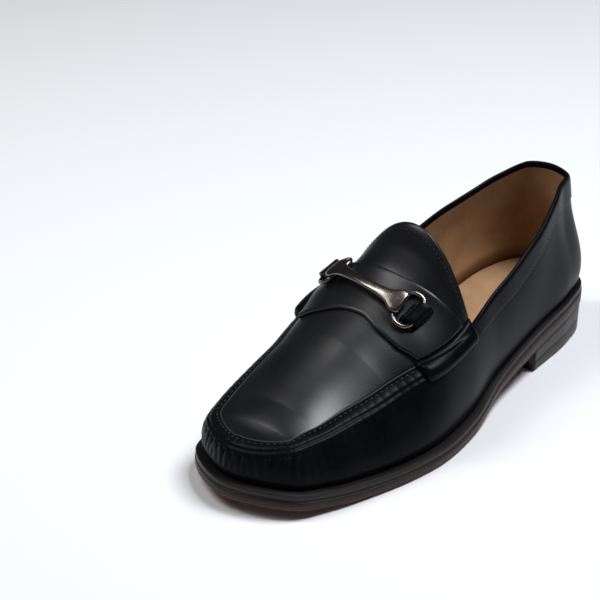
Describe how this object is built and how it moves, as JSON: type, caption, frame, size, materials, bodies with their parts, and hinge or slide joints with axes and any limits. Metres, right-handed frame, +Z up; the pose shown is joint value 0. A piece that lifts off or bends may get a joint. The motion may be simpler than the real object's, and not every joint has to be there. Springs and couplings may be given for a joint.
{
  "type": "loafer",
  "caption": "Left black leather loafer with a raised moccasin seam, a saddle strap, a metal bit, a thin welted sole and a low heel.",
  "frame": {"origin": "on the floor, at the middle of the heel's seat", "axes": "+Z up, toe towards -Y, outer side of the foot towards +X"},
  "size_m": [0.1101, 0.3, 0.1124],
  "materials": {
    "leather": "polished black",
    "welt": "dark burnished edge",
    "sole": "brown burnished edge",
    "lining": "tan, matt",
    "bit_metal": "polished gunmetal"
  },
  "bodies": {
    "root": {"outsole": "sole", "heel": "sole", "welt": "welt", "insole": "lining", "upper": "leather", "plug": "leather", "saddle": "leather", "roll_lateral": "leather", "roll_medial": "leather", "bit_bar": "bit_metal", "bit_ring_lateral": "bit_metal", "bit_ring_medial": "bit_metal", "keeper_lateral": "leather", "keeper_medial": "leather"}
  },
  "joints": []
}
